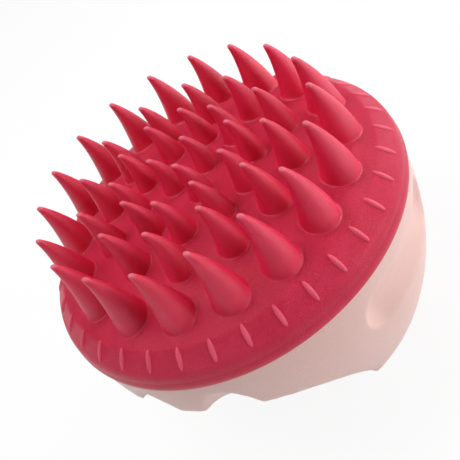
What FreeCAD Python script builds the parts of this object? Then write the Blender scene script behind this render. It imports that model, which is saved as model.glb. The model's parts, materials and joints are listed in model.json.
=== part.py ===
import FreeCAD
import Part
import Sketcher
import math
import operator
import os
import types

# Driving dimensions in millimetres and degrees. The base of the body lies on z = 0, the axis of the
# bristle head is Z, the finger side faces -X and the palm dome faces +X.
DIMENSIONS = {
    # body, outside
    "rim_radius": 42.5, "rim_height": 38.0, "dome_bulge": 2.3, "heel_inset": 7.3, "heel_height": 6.0,
    "heel_bulge": 1.38, "base_inset": 16.5,
    "scoop_cover": 10.6, "scoop_reach": -0.4, "scoop_sweep": 90.8, "scoop_arc": 30.9,
    "scallop_radius": 7.8, "scallop_top": 3.5, "scallop_tilt": 60.0, "scallop_pitch": 25.25,
    "scallop_start_inset": 2.5, "scallop_length": 25.0,
    "thumb_outset": 4.1, "thumb_radius": 7.0, "thumb_drop": 10.0, "thumb_from": 30.0, "thumb_span": 36.0,
    # body, inside
    "wall": 2.6, "cavity_inset": 7.5, "cavity_corner": 10.0, "socket_inset": 6.0, "socket_depth": 6.5,
    "post_radius": 2.6, "post_sink": 1.3, "tray_post_foot": 6.0, "post_hole_rise": 2.7,
    # bristle head
    "head_gap": 0.15, "pad_edge_inset": 0.1, "pad_overhang": 0.7, "pad_widest_rise": 3.6,
    "pad_lower_bulge": 0.3, "pad_upper_bulge": 0.24, "band_low_inset": 1.35, "band_low_rise": 5.25,
    "band_width": 2.7, "band_height": 2.75, "field_crown": 5.4,
    "bristle_tip": 0.52, "bristle_tip_round": 0.42, "bristle_sink": 1.2, "bristle_lean": 1.1,
    "bristle_bow": 0.5, "bristle_belly": 0.1,
    "rib_count": 36, "rib_half_length": 1.95, "rib_half_width": 0.8, "rib_half_height": 0.45,
    "carrier_inset": 2.8, "carrier_thickness": 3.0,
    # bayonet and head seal
    "ring_fit": 0.1, "ring_wall": 3.2, "ring_height": 5.7, "skirt_play": 0.2, "skirt_wall": 2.0,
    "skirt_rise": 0.7, "track_depth": 1.7, "track_rise": 0.9, "track_height": 2.8, "lug_play": 0.2,
    "lug_slack": 0.3, "lug_span": 20.0, "entry_play": 0.1, "entry_span": 26.0, "head_turn": 30.0,
    "lock_play": 0.8, "seal_inset": 3.7, "seal_half_width": 0.7, "seal_depth": 1.1, "seal_play": 0.05,
    # button, boot, board and switch
    "button_place": 14.0, "button_face": 0.5, "button_radius": 7.0, "button_round": 0.6, "button_play": 0.15,
    "press_travel": 0.6, "flange_gap": 0.15, "flange_thickness": 0.85, "flange_lap": 1.05,
    "stem_radius": 2.0, "stem_reach": 1.0, "dish_margin": 0.85, "dish_slope": 1.6, "dish_depth": 0.8,
    "boot_play": 0.5, "boot_wall": 1.0, "boot_foot_width": 1.2, "boot_foot_thickness": 0.8, "boot_rise": 1.0,
    "boot_skin": 0.6, "boot_lip_play": 0.15, "retainer_play": 0.15, "retainer_overhang": 0.1,
    "retainer_height": 1.6, "board_thickness": 1.6, "board_back": 10.2, "board_front": 10.5,
    "board_margin": 3.0, "board_post_back": 7.5, "board_post_y": 12.5,
    "chip_length": 6.0, "chip_width": 5.0, "chip_height": 1.3, "capacitor_length": 3.5,
    "capacitor_width": 3.0, "capacitor_height": 1.6, "capacitor_x": 4.0, "capacitor_y": 4.0,
    "switch_half": 3.1, "switch_play": 0.15, "switch_roof": 0.3, "plunger_gap": 0.05, "plunger_length": 2.65,
    "plunger_radius": 1.7, "plunger_play": 0.15, "bore_slack": 0.2,
    # battery
    "cell_radius": 5.25, "cell_length": 44.5, "nub_length": 1.0, "nub_radius": 2.75, "cell_gap": 1.0,
    "cell_margin": 0.88, "slot_play": 0.05, "tray_lift": 2.0, "tray_floor": 1.65, "tray_side": 0.35,
    "tray_step": 0.95, "tray_end": 1.4, "tray_clearance": 0.6, "ear_margin": 3.2, "ear_side": 3.0,
    "ear_thickness": 1.6, "tray_post_inset": 6.7, "tray_post_y": 12.0,
    "contact_gap": 1.15, "plate_thickness": 0.6, "plate_half": 4.0, "plate_play": 0.2,
    "bump_radius": 2.5, "spring_radius": 3.6, "spring_tip": 2.0,
    # motor
    "motor_set": 6.2, "motor_drop": 7.8, "motor_radius": 5.0, "motor_back": -16.0, "motor_length": 20.0,
    "cap_radius": 4.6, "cap_length": 2.0, "bearing_radius": 2.0, "bearing_length": 1.2, "shaft_play": 0.1,
    "shaft_radius": 0.75, "shaft_inside": 11.0, "shaft_outside": 12.0, "bore_end_play": 1.0,
    "weight_radius": 4.6, "weight_hub": 2.0, "weight_gap": 2.8, "weight_length": 6.0,
    "cradle_fit": 0.02, "cradle_left": 9.2, "cradle_right": 5.5, "cradle_end_inset": 3.0,
    "cradle_depth": 9.2, "shelf_right": 9.2, "shelf_depth": 3.2, "strap_inset": 7.0, "strap_width": 6.0,
    "strap_wall": 1.0, "strap_foot": 1.0, "strap_screw_reach": 7.65,
    # screws and leads
    "screw_radius": 1.0, "screw_tip_play": 0.5, "screw_grip": 0.05, "screw_head": 1.9, "screw_head_height": 1.2,
    "clear_hole_play": 0.15, "small_screw_radius": 0.8, "small_screw_head": 1.5, "small_screw_length": 2.4,
    "small_screw_tip_play": 0.3, "lead_radius": 0.6,
}

# Bristle rings from the rim inwards: name, count, distance inwards from the ring before it or from the edge of
# the field, root radius, angle of the first bristle and height of the tips above the rim.
BRISTLE_RINGS = (
    ("outer", 18, 6.5, 4.05, 0.0, 24.3),
    ("middle", 12, 10.15, 3.5, 0.0, 23.8),
    ("inner", 10, 8.4, 3.15, -13.0, 23.4),
    ("centre", 3, 9.2, 3.0, 30.0, 23.0),
)
RING_SIZES = ("count", "step", "root", "start", "rise")
# Sections of a bristle above the field, as shares of its height
BRISTLE_SECTIONS = (0.3, 0.65, 1.0)
LUG_ANGLES = (30.0, 150.0, 270.0)
SCALLOP_COUNT = 6
# Share of a lead's shorter run that a bend may take up
LEAD_BEND_SHARE = 0.45

doc = FreeCAD.newDocument("scalp_brush")
sheet = doc.addObject("Spreadsheet::Sheet", "dims")

OPERATIONS = {"+": operator.add, "-": operator.sub, "*": operator.mul, "/": operator.truediv}


class Size:
    """A dimension: its number together with the formula that binds it to the sheet."""

    def __init__(self, number, formula=None):
        self.number = number
        self.formula = formula or "({})".format(number)

    def join(self, sign, other, swapped=False):
        pair = [self, as_size(other)]
        if swapped:
            pair.reverse()
        number = OPERATIONS[sign](pair[0].number, pair[1].number)
        return Size(number, "({} {} {})".format(pair[0].formula, sign, pair[1].formula))

    def __add__(self, other):
        return self.join("+", other)

    def __radd__(self, other):
        return self.join("+", other, swapped=True)

    def __sub__(self, other):
        return self.join("-", other)

    def __rsub__(self, other):
        return self.join("-", other, swapped=True)

    def __mul__(self, other):
        return self.join("*", other)

    def __rmul__(self, other):
        return self.join("*", other, swapped=True)

    def __truediv__(self, other):
        return self.join("/", other)

    def __neg__(self):
        return 0 - self


def as_size(value):
    return value if isinstance(value, Size) else Size(value)


def cosine(angle):
    angle = as_size(angle)
    return Size(math.cos(math.radians(angle.number)), "cos({})".format(angle.formula))


def sine(angle):
    angle = as_size(angle)
    return Size(math.sin(math.radians(angle.number)), "sin({})".format(angle.formula))


def square_root(size):
    return Size(math.sqrt(size.number), "sqrt({})".format(size.formula))


def fill_sheet():
    """One row for each driving dimension, and a name space of bound sizes with the same names."""
    rows = dict(DIMENSIONS)
    for ring, *numbers in BRISTLE_RINGS:
        for part, number in zip(RING_SIZES, numbers):
            rows["{}_{}".format(ring, part)] = number
    for row, (alias, number) in enumerate(rows.items(), start=1):
        sheet.set("A{}".format(row), alias)
        sheet.set("B{}".format(row), str(number))
        sheet.setAlias("B{}".format(row), alias)
    doc.recompute()
    return types.SimpleNamespace(**{alias: Size(number, "dims." + alias) for alias, number in rows.items()})


d = fill_sheet()


def field_drop(radius):
    """How far the domed field lies below its top at a distance from the axis."""
    return d.field_arc - square_root(d.field_arc * d.field_arc - radius * radius)


# Sizes and places that follow from the driving dimensions: body
d.heel_radius = d.rim_radius - d.heel_inset
d.base_radius = d.rim_radius - d.base_inset
d.cavity_radius = d.rim_radius - d.cavity_inset
d.socket_radius = d.rim_radius - d.socket_inset
d.socket_floor = d.rim_height - d.socket_depth
d.scoop_centre = d.scoop_reach - d.scoop_arc + d.scoop_sweep
d.scoop_height = d.rim_height - d.scoop_cover - d.scoop_arc
d.scallop_start = d.rim_radius - d.scallop_start_inset
d.thumb_reach = d.rim_radius + d.thumb_outset
d.thumb_height = d.rim_height - d.thumb_drop
d.post_hole = d.screw_radius + d.screw_grip
d.clear_hole = d.screw_radius + d.clear_hole_play
d.board_post_foot = d.wall - d.post_sink

# Bristle head
d.head_low = d.rim_height + d.head_gap
d.carrier_radius = d.rim_radius - d.carrier_inset
d.carrier_top = d.head_low + d.carrier_thickness
d.pad_edge = d.rim_radius - d.pad_edge_inset
d.pad_widest = d.rim_radius + d.pad_overhang
d.pad_widest_height = d.rim_height + d.pad_widest_rise
d.band_low_radius = d.pad_widest - d.band_low_inset
d.band_low_height = d.rim_height + d.band_low_rise
d.band_top_radius = d.band_low_radius - d.band_width
d.band_top_height = d.band_low_height + d.band_height
d.field_arc = (d.band_top_radius * d.band_top_radius + d.field_crown * d.field_crown) / (d.field_crown * 2)
d.field_top = d.band_top_height + d.field_crown
d.field_bulge = field_drop(square_root(d.band_top_radius * d.band_top_radius + d.field_crown * d.field_crown) * 0.5)

# Bayonet and head seal
d.ring_outer = d.socket_radius - d.ring_fit
d.ring_inner = d.ring_outer - d.ring_wall
d.ring_top = d.socket_floor + d.ring_height
d.skirt_outer = d.ring_inner - d.skirt_play
d.skirt_inner = d.skirt_outer - d.skirt_wall
d.skirt_foot = d.socket_floor + d.skirt_rise
d.track_radius = d.ring_inner + d.track_depth
d.track_low = d.socket_floor + d.track_rise
d.track_high = d.track_low + d.track_height
d.lug_reach = d.track_radius - d.lug_play
d.lug_low = d.track_low + d.lug_slack
d.lug_high = d.track_high - d.lug_slack
d.entry_radius = d.lug_reach + d.entry_play
d.seal_radius = d.rim_radius - d.seal_inset
d.seal_low = d.rim_height - d.seal_depth
d.seal_top = d.head_low - d.seal_play
d.groove_half_width = d.seal_half_width + d.seal_play

# Button, boot, board and switch
d.button_hole = d.button_radius + d.button_play
d.flange_low = d.wall + d.flange_gap
d.flange_high = d.flange_low + d.flange_thickness
d.flange_radius = d.button_hole + d.flange_lap
d.dish_floor_radius = d.button_hole + d.dish_margin
d.dish_radius = d.dish_floor_radius + d.dish_slope
d.boot_inner = d.flange_radius + d.boot_play
d.boot_outer = d.boot_inner + d.boot_wall
d.boot_foot = d.boot_outer + d.boot_foot_width
d.boot_foot_top = d.wall + d.boot_foot_thickness
d.boot_web = d.flange_high + d.boot_rise
d.boot_top = d.boot_web + d.boot_skin
d.boot_lip = d.stem_radius + d.boot_lip_play
d.retainer_inner = d.boot_outer + d.retainer_play
d.retainer_outer = d.boot_foot + d.retainer_overhang
d.retainer_top = d.boot_foot_top + d.retainer_height
d.stem_top = d.boot_top + d.stem_reach
d.plunger_low = d.stem_top + d.plunger_gap
d.plunger_high = d.plunger_low + d.plunger_length
d.plunger_bore = d.plunger_radius + d.plunger_play
d.switch_low = d.stem_top + d.press_travel + d.switch_play
d.bore_top = d.plunger_high + d.press_travel + d.bore_slack
d.board_low = d.bore_top + d.switch_roof
d.board_high = d.board_low + d.board_thickness
d.board_from = d.button_place - d.board_back
d.board_to = d.button_place + d.board_front
d.board_post_x = d.button_place - d.board_post_back
d.board_half = d.board_post_y + d.board_margin

# Battery: the cells lie as far towards the palm as their ends may go in the round cavity
d.plate_inner = d.cell_length * 0.5 + d.contact_gap
d.plate_outer = d.plate_inner + d.plate_thickness
d.cell_room = d.cavity_radius - d.cell_margin
d.cell_two_x = square_root(d.cell_room * d.cell_room - d.plate_outer * d.plate_outer) - d.cell_radius
d.cell_one_x = d.cell_two_x - d.cell_radius * 2 - d.cell_gap
d.slot_radius = d.cell_radius + d.slot_play
d.tray_low = d.board_high + d.tray_lift
d.cell_height = d.tray_low + d.tray_floor + d.cell_radius
d.tray_from = d.cell_one_x - d.cell_radius - d.tray_side
d.tray_to = d.cell_two_x + d.cell_radius + d.tray_step
d.tray_half = d.plate_outer + d.tray_end
d.tray_reach = d.cavity_radius - d.tray_clearance
d.tray_post_x = d.cavity_radius - d.tray_post_inset
d.ear_to = d.tray_post_x + d.ear_margin
d.ear_half = d.tray_post_y + d.ear_side
d.ear_top = d.tray_low + d.ear_thickness

# Motor
d.motor_x = d.scoop_reach - d.motor_set
d.motor_z = d.rim_height - d.motor_drop
d.motor_front = d.motor_back + d.motor_length
d.cap_back = d.motor_back - d.cap_length
d.bearing_front = d.motor_front + d.bearing_length
d.motor_bore = d.shaft_radius + d.shaft_play
d.shaft_back = d.motor_front - d.shaft_inside
d.shaft_front = d.motor_front + d.shaft_outside
d.bore_back = d.shaft_back - d.bore_end_play
d.weight_back = d.bearing_front + d.weight_gap
d.weight_front = d.weight_back + d.weight_length
d.cradle_from = d.motor_x - d.cradle_left
d.cradle_to = d.motor_x + d.cradle_right
d.cradle_back = d.motor_back + d.cradle_end_inset
d.cradle_front = d.motor_front - d.cradle_end_inset
d.cradle_low = d.motor_z - d.cradle_depth
d.shelf_to = d.motor_x + d.shelf_right
d.shelf_low = d.motor_z - d.shelf_depth
d.strap_back = d.motor_back + d.strap_inset
d.strap_front = d.strap_back + d.strap_width
d.strap_outer = d.motor_radius + d.strap_wall
d.strap_seat = d.motor_z + d.strap_foot
d.small_hole = d.small_screw_radius + d.screw_grip
d.small_screw_tip = d.motor_z - d.small_screw_length

# Bulge of a quarter circle as a share of its radius
QUARTER_BULGE = 1 - math.sqrt(0.5)


# Primitives and booleans, bound to the sheet

def bind(item, field, size):
    item.setExpression(field, as_size(size).formula)


def place(item, spot, turn=None):
    if turn is not None:
        item.Placement = FreeCAD.Placement(FreeCAD.Vector(), turn)
    for axis, size in zip("xyz", spot):
        bind(item, "Placement.Base." + axis, size)
    return item


def box(name, low, high):
    item = doc.addObject("Part::Box", name)
    for field, start, end in zip(("Length", "Width", "Height"), low, high):
        bind(item, field, as_size(end) - start)
    return place(item, low)


def rod(name, radius, spot, length, turn=None):
    item = doc.addObject("Part::Cylinder", name)
    bind(item, "Radius", radius)
    bind(item, "Height", length)
    return place(item, spot, turn)


def upright(name, radius, x, y, low, high):
    return rod(name, radius, (x, y, low), as_size(high) - low)


ALONG_Y = FreeCAD.Rotation(FreeCAD.Vector(1, 0, 0), -90)


def crosswise(name, radius, x, z, back, front):
    return rod(name, radius, (x, back, z), as_size(front) - back, ALONG_Y)


def taper(name, start_radius, end_radius, spot, length, turn=None):
    item = doc.addObject("Part::Cone", name)
    bind(item, "Radius1", start_radius)
    bind(item, "Radius2", end_radius)
    bind(item, "Height", length)
    return place(item, spot, turn)


def ball(name, radius, spot):
    item = doc.addObject("Part::Sphere", name)
    bind(item, "Radius", radius)
    return place(item, spot)


def torus(name, sweep, section, spot, span=360, start=0.0):
    item = doc.addObject("Part::Torus", name)
    bind(item, "Radius1", sweep)
    bind(item, "Radius2", section)
    bind(item, "Angle3", span)
    return place(item, spot, FreeCAD.Rotation(start, 0, 0))


def fuse(name, *items):
    item = doc.addObject("Part::MultiFuse", name)
    item.Shapes = list(items)
    return item


def cut(name, base, *tools):
    item = doc.addObject("Part::Cut", name)
    item.Base = base
    item.Tool = tools[0] if len(tools) == 1 else fuse(name + "_cutters", *tools)
    return item


def common(name, base, tool):
    item = doc.addObject("Part::Common", name)
    item.Base = base
    item.Tool = tool
    return item


def group(name, *items):
    item = doc.addObject("Part::Compound", name)
    item.Links = list(items)
    return item


def tube(name, inner, outer, low, high):
    outside = upright(name + "_outside", outer, 0, 0, low, high)
    return cut(name, outside, upright(name + "_bore", inner, 0, 0, low, high))


def tube_sector(name, inner, outer, low, high, start, span):
    """A piece of a tube about Z that starts at an angle and covers a span."""
    turn = FreeCAD.Rotation(start, 0, 0)
    outside = rod(name + "_outside", outer, (0, 0, low), as_size(high) - low, turn)
    bind(outside, "Angle", span)
    return cut(name, outside, upright(name + "_bore", inner, 0, 0, low, high))


# Turned bodies from sketches

def origin_feature(body, role):
    return next(feature for feature in body.Origin.OriginFeatures if feature.Role == role)


def arc_between(start, end, bulge):
    """The short arc from start to end that bulges by a given height to the right of the way there."""
    half = (end - start) * 0.5
    right = FreeCAD.Vector(half.y, -half.x, 0).normalize()
    return Part.Arc(start, start + half + right * bulge, end)


def arc_radius(start, end, bulge):
    run = end[0] - start[0]
    rise = end[1] - start[1]
    return (run * run + rise * rise) / (bulge * 8) + bulge * 0.5


def outline(body, name, corners, arcs, offset=(0, 0, 0)):
    """A closed sketch in the XZ plane; arcs gives the bulge of each round side by its first corner."""
    sketch = body.newObject("Sketcher::SketchObject", name)
    sketch.AttachmentSupport = (origin_feature(body, "XZ_Plane"), [""])
    sketch.MapMode = "FlatFace"
    for axis, size in zip("xyz", offset):
        bind(sketch, "AttachmentOffset.Base." + axis, size)
    corners = [(as_size(x), as_size(z)) for x, z in corners]
    points = [FreeCAD.Vector(x.number, z.number, 0) for x, z in corners]
    count = len(points)
    for index, start in enumerate(points):
        end = points[(index + 1) % count]
        if index in arcs:
            sketch.addGeometry(arc_between(start, end, arcs[index].number), False)
        else:
            sketch.addGeometry(Part.LineSegment(start, end), False)
    for index in range(count):
        sketch.addConstraint(Sketcher.Constraint("Coincident", index, 2, (index + 1) % count, 1))
    for index, (x, z) in enumerate(corners):
        for kind, size, axis in (("DistanceX", x, -2), ("DistanceY", z, -1)):
            if size.number == 0:
                sketch.addConstraint(Sketcher.Constraint("PointOnObject", index, 1, axis))
                continue
            place_constraint = Sketcher.Constraint(kind, -1, 1, index, 1, size.number)
            name_constraint(sketch, sketch.addConstraint(place_constraint), kind + str(index), size)
    for index, bulge in arcs.items():
        radius = arc_radius(corners[index], corners[(index + 1) % count], bulge)
        number = sketch.addConstraint(Sketcher.Constraint("Radius", index, radius.number))
        name_constraint(sketch, number, "Radius" + str(index), radius)
    return sketch


def name_constraint(sketch, number, name, size):
    sketch.renameConstraint(number, name)
    bind(sketch, "Constraints." + name, size)


def revolve(body, name, sketch):
    feature = body.newObject("PartDesign::Revolution", name)
    feature.Profile = sketch
    feature.ReferenceAxis = (sketch, ["V_Axis"])
    feature.Angle = 360
    sketch.Visibility = False
    return feature


def turned(name, corners, arcs=None, offset=(0, 0, 0)):
    """A body turned about an upright axis from one outline."""
    body = doc.addObject("PartDesign::Body", name)
    revolve(body, name + "_turn", outline(body, name + "_outline", corners, arcs or {}, offset))
    return body


def repeat_round(body, name, feature, count):
    pattern = body.newObject("PartDesign::PolarPattern", name)
    pattern.Originals = [feature]
    pattern.Axis = (origin_feature(body, "Z_Axis"), [""])
    pattern.Angle = 360
    bind(pattern, "Occurrences", count)
    body.Tip = pattern


# Bristle head

def bristle_pad():
    """Soft head: a rounded disc over the carrier, ribs round its sloping band, and bristles in rings."""
    body = doc.addObject("PartDesign::Body", "pad_base")
    corners = (
        (0, d.carrier_top), (d.carrier_radius, d.carrier_top), (d.carrier_radius, d.head_low),
        (d.pad_edge, d.head_low), (d.pad_widest, d.pad_widest_height), (d.band_low_radius, d.band_low_height),
        (d.band_top_radius, d.band_top_height), (0, d.field_top),
    )
    arcs = {3: d.pad_lower_bulge, 4: d.pad_upper_bulge, 6: d.field_bulge}
    revolve(body, "pad_disc", outline(body, "pad_outline", corners, arcs))
    rim_ribs(body)
    bristles = []
    radius = d.band_top_radius
    for ring, count, *_ in BRISTLE_RINGS:
        radius = radius - getattr(d, ring + "_step")
        foot = d.field_top - field_drop(radius)
        model = bristle(ring, foot)
        for number in range(int(count)):
            angle = getattr(d, ring + "_start") + as_size(360 * number) / getattr(d, ring + "_count")
            link = doc.addObject("App::Link", "{}_bristle_{}".format(ring, number + 1))
            link.LinkedObject = model
            bristles.append(place(link, (radius * cosine(angle), radius * sine(angle), foot)))
    return fuse("bristle_pad", body, *bristles)


def bristle(ring, foot):
    """One bristle on its own root: a tapered claw that leans and hooks towards the finger side."""
    root = getattr(d, ring + "_root")
    height = d.rim_height + getattr(d, ring + "_rise") - foot
    sections = []
    levels = [-d.bristle_sink] + [height * share for share in BRISTLE_SECTIONS]
    for number, level in enumerate(levels):
        share = level / height
        swell = share * (1 - share) * 4
        circle = doc.addObject("Part::Circle", "{}_section_{}".format(ring, number + 1))
        bind(circle, "Radius", root + (d.bristle_tip - root) * share + d.bristle_belly * swell)
        place(circle, (d.bristle_bow * swell - d.bristle_lean * share, 0, level))
        sections.append(circle)
    loft = doc.addObject("Part::Loft", ring + "_claw")
    loft.Sections = sections
    loft.Solid = True
    doc.recompute()
    tip_edge = max(range(len(loft.Shape.Edges)), key=lambda index: loft.Shape.Edges[index].BoundBox.ZMin)
    rounded = doc.addObject("Part::Fillet", ring + "_bristle")
    rounded.Base = loft
    rounded.Edges = [(tip_edge + 1, d.bristle_tip_round.number, d.bristle_tip_round.number)]
    return rounded


def rim_ribs(body):
    """Lens-shaped ribs that lie up and down the sloping band, half sunk in it."""
    fall = math.degrees(math.atan2(d.band_height.number, d.band_width.number))
    rib = body.newObject("PartDesign::AdditiveEllipsoid", "rim_rib")
    rib.AttachmentSupport = (origin_feature(body, "XY_Plane"), [""])
    rib.MapMode = "FlatFace"
    rib.AttachmentOffset = FreeCAD.Placement(FreeCAD.Vector(), FreeCAD.Rotation(FreeCAD.Vector(0, 1, 0), fall))
    bind(rib, "AttachmentOffset.Base.x", (d.band_low_radius + d.band_top_radius) * 0.5)
    bind(rib, "AttachmentOffset.Base.z", (d.band_low_height + d.band_top_height) * 0.5)
    bind(rib, "Radius1", d.rib_half_height)
    bind(rib, "Radius2", d.rib_half_length)
    bind(rib, "Radius3", d.rib_half_width)
    repeat_round(body, "rim_ribs", rib, d.rib_count)


def pad_carrier():
    pieces = [
        upright("carrier_disc", d.carrier_radius, 0, 0, d.head_low, d.carrier_top),
        tube("carrier_skirt", d.skirt_inner, d.skirt_outer, d.skirt_foot, d.head_low),
    ]
    for number, angle in enumerate(LUG_ANGLES, start=1):
        start = angle - d.lug_span.number / 2
        pieces.append(tube_sector(
            "lug_{}".format(number), d.skirt_outer, d.lug_reach, d.lug_low, d.lug_high, start, d.lug_span))
    return fuse("pad_carrier", *pieces)


def bayonet_ring():
    """Ring with a track for each lug, from its locked place to its way in from above."""
    ring = tube("ring_blank", d.ring_inner, d.ring_outer, d.socket_floor, d.ring_top)
    track_span = d.lug_span * 0.5 + d.lock_play + d.head_turn + d.entry_span * 0.5
    cutters = []
    for number, angle in enumerate(LUG_ANGLES, start=1):
        track_start = angle - d.lug_span.number / 2 - d.lock_play.number
        cutters.append(tube_sector(
            "track_{}".format(number), d.skirt_outer, d.track_radius, d.track_low, d.track_high, track_start,
            track_span))
        entry_start = angle + d.head_turn.number - d.entry_span.number / 2
        cutters.append(tube_sector(
            "entry_{}".format(number), d.skirt_outer, d.entry_radius, d.track_low + d.lock_play, d.rim_height,
            entry_start, d.entry_span))
    return cut("bayonet_ring", ring, *cutters)


def head_seal():
    inner = d.seal_radius - d.seal_half_width
    return tube("head_seal", inner, d.seal_radius + d.seal_half_width, d.seal_low, d.seal_top)


# Body

def scoop(name, extra=0):
    """The hollow under the finger side: a wide ring that sweeps round the palm dome."""
    return torus(name, d.scoop_sweep, d.scoop_arc + extra, (d.scoop_centre, 0, d.scoop_height))


def finger_scallops():
    """Flutes that rise outwards through the edge of the scoop, each with its own upper ridge."""
    tilt = d.scallop_tilt
    axis_radius = d.rim_radius + d.scallop_radius * sine(tilt)
    axis_drop = d.scallop_top + d.scallop_radius * cosine(tilt)
    start_drop = axis_drop + (axis_radius - d.scallop_start) * sine(tilt) / cosine(tilt)
    scallops = []
    for step in range(SCALLOP_COUNT):
        angle = 180 + d.scallop_pitch * (step - (SCALLOP_COUNT - 1) / 2)
        spot = (d.scallop_start * cosine(angle), d.scallop_start * sine(angle), d.rim_height - start_drop)
        turn = FreeCAD.Rotation(angle.number, 90 - tilt.number, 0)
        scallops.append(rod("scallop_{}".format(step + 1), d.scallop_radius, spot, d.scallop_length, turn))
    return scallops


def thumb_recesses():
    cutters = []
    for side, sign in (("near", -1), ("far", 1)):
        ends = (sign * d.thumb_from, sign * (d.thumb_from + d.thumb_span))
        start = min(end.number for end in ends)
        cutters.append(torus(
            side + "_thumb_groove", d.thumb_reach, d.thumb_radius, (0, 0, d.thumb_height), d.thumb_span, start))
        for number, end in enumerate(ends, start=1):
            spot = (d.thumb_reach * cosine(end), d.thumb_reach * sine(end), d.thumb_height)
            cutters.append(ball("{}_thumb_end_{}".format(side, number), d.thumb_radius, spot))
    return cutters


def body_shell():
    outside = turned("shell_outside", (
        (0, 0), (d.base_radius, 0), (d.heel_radius, d.heel_height), (d.rim_radius, d.rim_height),
        (0, d.rim_height)), {1: d.heel_bulge, 2: d.dome_bulge})
    corner_radius = d.cavity_radius - d.cavity_corner
    corner_bulge = d.cavity_corner * QUARTER_BULGE
    room = turned("shell_room", (
        (0, d.wall), (corner_radius, d.wall), (d.cavity_radius, d.wall + d.cavity_corner),
        (d.cavity_radius, d.socket_floor), (0, d.socket_floor)), {1: corner_bulge})
    cavity = cut("cavity", room, scoop("scoop_wall", d.wall))
    socket = upright("socket", d.socket_radius, 0, 0, d.socket_floor, d.rim_height)
    hole = upright("button_way", d.button_hole, d.button_place, 0, 0, d.wall)
    dish = taper("button_dish", d.dish_radius, d.dish_floor_radius, (d.button_place, 0, 0), d.dish_depth)
    groove = tube("seal_groove", d.seal_radius - d.groove_half_width, d.seal_radius + d.groove_half_width,
                  d.seal_low, d.rim_height)
    skin = cut("shell_skin", outside, scoop("finger_scoop"), *finger_scallops(), *thumb_recesses())
    hollowed = cut("shell_hollow", skin, cavity, socket, hole, dish, groove)
    posts = []
    holes = []
    for number, (x, y, foot, top) in enumerate(post_places(), start=1):
        posts.append(upright("post_{}".format(number), d.post_radius, x, y, foot, top))
        holes.append(upright("post_hole_{}".format(number), d.post_hole, x, y, foot + d.post_hole_rise, top))
    return cut("body_shell", fuse("shell_with_posts", hollowed, *posts), *holes)


def post_places():
    for sign in (-1, 1):
        yield d.board_post_x, sign * d.board_post_y, d.board_post_foot, d.board_low
        yield d.tray_post_x, sign * d.tray_post_y, d.tray_post_foot, d.tray_low


# Button, board and switch

def power_button():
    face_edge = d.button_radius - d.button_round
    return turned("power_button", (
        (0, d.button_face), (face_edge, d.button_face), (d.button_radius, d.button_face + d.button_round),
        (d.button_radius, d.flange_low), (d.flange_radius, d.flange_low), (d.flange_radius, d.flange_high),
        (d.stem_radius, d.flange_high), (d.stem_radius, d.stem_top), (0, d.stem_top)),
        {1: d.button_round * QUARTER_BULGE}, (d.button_place, 0, 0))


def button_boot():
    return turned("button_boot", (
        (d.boot_inner, d.wall), (d.boot_foot, d.wall), (d.boot_foot, d.boot_foot_top),
        (d.boot_outer, d.boot_foot_top), (d.boot_outer, d.boot_top), (d.boot_lip, d.boot_top),
        (d.boot_lip, d.boot_web), (d.boot_inner, d.boot_web)), None, (d.button_place, 0, 0))


def boot_retainer():
    return turned("boot_retainer", (
        (d.retainer_inner, d.boot_foot_top), (d.retainer_outer, d.boot_foot_top),
        (d.retainer_outer, d.retainer_top), (d.retainer_inner, d.retainer_top)), None, (d.button_place, 0, 0))


def on_board(name, x, y, length, width, height):
    return box(name, (x, y, d.board_high), (x + length, y + width, d.board_high + height))


def circuit_board():
    blank = box("board_blank", (d.board_from, -d.board_half, d.board_low),
                (d.board_to, d.board_half, d.board_high))
    chip = on_board("driver_chip", d.button_place - d.chip_length * 0.5, d.chip_width * -0.5, d.chip_length,
                    d.chip_width, d.chip_height)
    store = on_board("capacitor", d.button_place + d.capacitor_x, d.capacitor_y, d.capacitor_length,
                     d.capacitor_width, d.capacitor_height)
    holes = [
        upright("board_hole_{}".format(number), d.clear_hole, d.board_post_x, sign * d.board_post_y, d.board_low,
                d.board_high)
        for number, sign in enumerate((-1, 1), start=1)]
    return cut("circuit_board", fuse("board_filled", blank, chip, store), *holes)


def tact_switch():
    half = d.switch_half
    case = box("switch_case", (d.button_place - half, -half, d.switch_low),
               (d.button_place + half, half, d.board_low))
    bore = upright("switch_bore", d.plunger_bore, d.button_place, 0, d.switch_low, d.bore_top)
    return cut("tact_switch", case, bore)


def switch_plunger():
    return upright("switch_plunger", d.plunger_radius, d.button_place, 0, d.plunger_low, d.plunger_high)


def screw(name, x, y, tip, seat, shank, head):
    return fuse(name, upright(name + "_shank", shank, x, y, tip, seat),
                upright(name + "_head", head, x, y, seat, seat + d.screw_head_height))


def screw_pair(name, x, y, foot, seat):
    tip = foot + d.post_hole_rise + d.screw_tip_play
    return group(name, *[
        screw("{}_{}".format(name, number), x, sign * y, tip, seat, d.screw_radius, d.screw_head)
        for number, sign in enumerate((-1, 1), start=1)])


# Battery

def cell(name, x, sign):
    """One cell along Y with its nub towards the given side."""
    half = d.cell_length * 0.5
    shoulder = half - d.nub_length
    ends = (-half, shoulder) if sign > 0 else (-shoulder, half)
    nub = (shoulder, half) if sign > 0 else (-half, -shoulder)
    return fuse(name, crosswise(name + "_can", d.cell_radius, x, d.cell_height, *ends),
                crosswise(name + "_nub", d.nub_radius, x, d.cell_height, *nub))


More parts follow.
